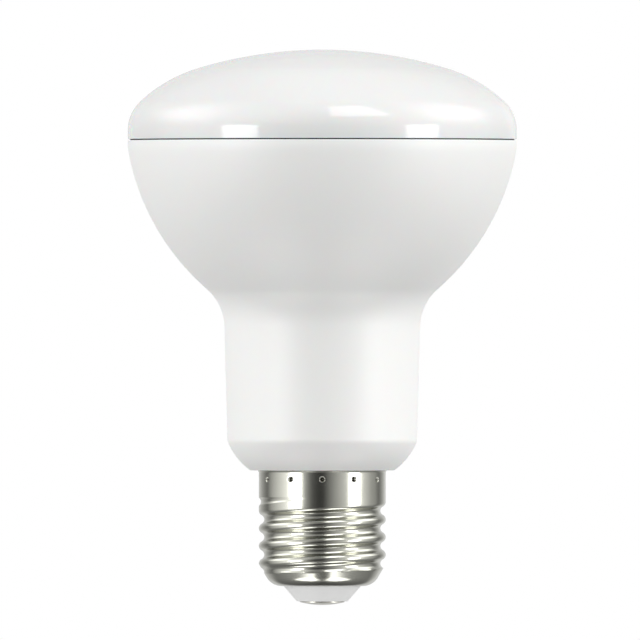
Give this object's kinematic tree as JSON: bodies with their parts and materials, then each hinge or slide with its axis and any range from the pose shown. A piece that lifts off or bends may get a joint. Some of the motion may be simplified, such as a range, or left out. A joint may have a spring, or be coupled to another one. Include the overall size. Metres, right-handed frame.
{
  "type": "reflector lamp bulb",
  "caption": "Reflector lamp with an opal domed front, a flared white housing and a nickel screw cap with a rolled thread.",
  "frame": {"origin": "tip of the centre contact, the lowest point, on the lamp's axis", "axes": "+Z along the lamp's axis from the contact to the top of the dome"},
  "size_m": [0.08, 0.08, 0.1142],
  "materials": {
    "diffuser": "glossy opal moulding",
    "seam_bead": "dark cured adhesive",
    "housing": "satin white moulding",
    "cap_metal": "bright nickel plate",
    "contact_metal": "bright nickel plate",
    "insulator": "moulded white",
    "plate_metal": "blanked sheet",
    "screw_metal": "zinc plate",
    "light_board": "white solder mask",
    "led_package": "yellow phosphor in a white package",
    "connector": "moulded",
    "driver_laminate": "green solder mask",
    "ferrite": "sintered dark grey",
    "bobbin": "moulded black",
    "winding": "yellow tape over copper wire",
    "can_sleeve": "shrunk sleeve",
    "film_box": "moulded box",
    "black_package": "moulded black",
    "choke_sleeve": "shrunk sleeve",
    "fuse_sleeve": "lacquered",
    "red_wire": "extruded insulation",
    "black_wire": "extruded insulation",
    "blue_wire": "extruded insulation"
  },
  "bodies": {
    "root": {"diffuser": "diffuser", "seam_bead": "seam_bead", "housing": "housing", "cap_shell": "cap_metal", "cap_insulator": "insulator", "centre_contact": "contact_metal", "heat_plate": "plate_metal", "plate_screws": "screw_metal", "led_board": "light_board", "board_screws": "screw_metal", "board_connector": "connector", "driver_board": "driver_laminate", "transformer_core": "ferrite", "transformer_bobbin": "bobbin", "transformer_winding": "winding", "input_capacitor": "can_sleeve", "output_capacitor": "can_sleeve", "film_capacitor": "film_box", "bridge_rectifier": "black_package", "controller_chip": "black_package", "flyback_diode": "black_package", "fuse_resistor": "fuse_sleeve", "line_choke": "choke_sleeve", "live_lead": "red_wire", "neutral_lead": "blue_wire", "led_lead_positive": "red_wire", "led_lead_negative": "black_wire", "led_01": "led_package", "led_02": "led_package", "led_03": "led_package", "led_04": "led_package", "led_05": "led_package", "led_06": "led_package", "led_07": "led_package", "led_08": "led_package", "led_09": "led_package", "led_10": "led_package", "led_11": "led_package", "led_12": "led_package", "led_13": "led_package", "led_14": "led_package", "led_15": "led_package", "led_16": "led_package", "led_17": "led_package", "led_18": "led_package"}
  },
  "joints": []
}
